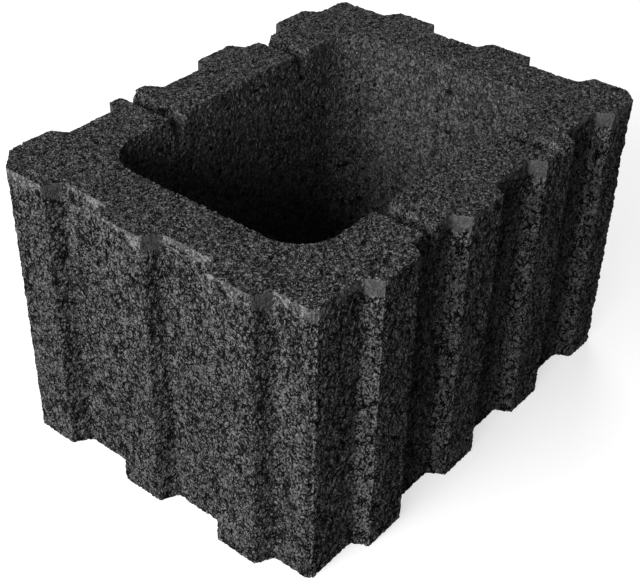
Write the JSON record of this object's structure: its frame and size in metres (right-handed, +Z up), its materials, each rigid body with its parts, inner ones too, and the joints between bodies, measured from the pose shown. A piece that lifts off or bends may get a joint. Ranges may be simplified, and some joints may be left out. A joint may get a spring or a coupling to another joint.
{
  "type": "concrete planter block",
  "caption": "Oblong concrete planter block, open through its height, with keying ribs on all four sides, a rounded plant cavity and small notches across the long walls",
  "frame": {"origin": "middle of the footprint, on the ground", "axes": "+X along the long side, +Y along the short side, +Z up through the open cavity"},
  "size_m": [0.4136, 0.3134, 0.25],
  "materials": {
    "cast_concrete": "dark anthracite open-textured cast concrete, matt, with fine pits and a slightly rough grain"
  },
  "bodies": {
    "root": {"planter_block": "cast_concrete"}
  },
  "joints": []
}
